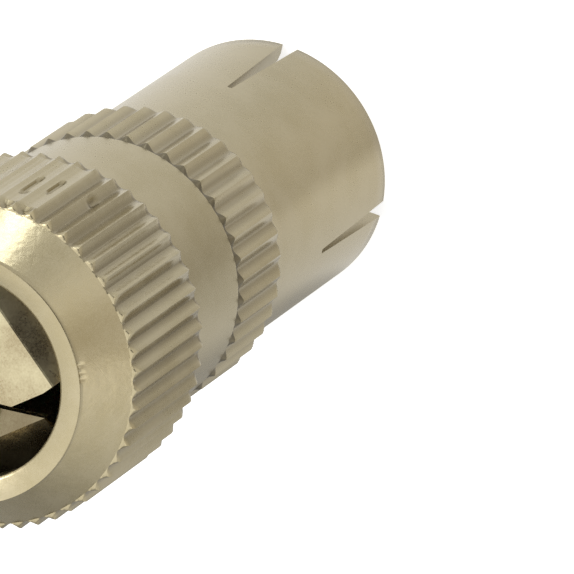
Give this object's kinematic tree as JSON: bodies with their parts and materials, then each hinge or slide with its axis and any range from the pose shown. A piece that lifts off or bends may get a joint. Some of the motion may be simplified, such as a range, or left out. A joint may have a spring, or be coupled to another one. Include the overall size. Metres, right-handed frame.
{
  "type": "in-line coaxial tv socket",
  "caption": "In-line female coaxial connector: slotted sleeve round a split centre contact, knurled ring and neck, and a knurled cone-backed nut that screws down on a stamped cable clamp.",
  "frame": {"origin": "centre of the sleeve's front rim, on the surface that the connector stands on", "axes": "+Z along the connector's axis from the front rim to the clamping nut, +X through the middle of one sleeve slot"},
  "size_m": [0.014, 0.014, 0.031],
  "materials": {
    "nickel_shell": "satin nickel plate on a die casting",
    "nickel_nut": "satin nickel plate on a die casting",
    "clamp_sheet": "nickel-plated steel sheet",
    "insulator": "natural white polyethylene",
    "contact": "turned brass",
    "screw": "zinc-plated steel"
  },
  "bodies": {
    "shell": {"front_shell": "nickel_shell", "insulator": "insulator", "centre_contact": "contact", "contact_screw": "screw"},
    "clamp": {"cable_clamp": "clamp_sheet"},
    "nut": {"rear_nut": "nickel_nut"}
  },
  "joints": [
    {"name": "nut_travel", "type": "slide", "parent": "shell", "child": "clamp", "axis": [0, 0, 1], "range_m": [0, 0.0038]},
    {"name": "nut_turn", "type": "hinge", "parent": "clamp", "child": "nut", "pos_m": [0, 0, 0.0267], "axis": [0, 0, 1], "range_deg": [0, 1800]}
  ],
  "couplings": [
    {"joint": "nut_travel", "follows": "nut_turn", "m_per_rad": 0.00011937}
  ]
}
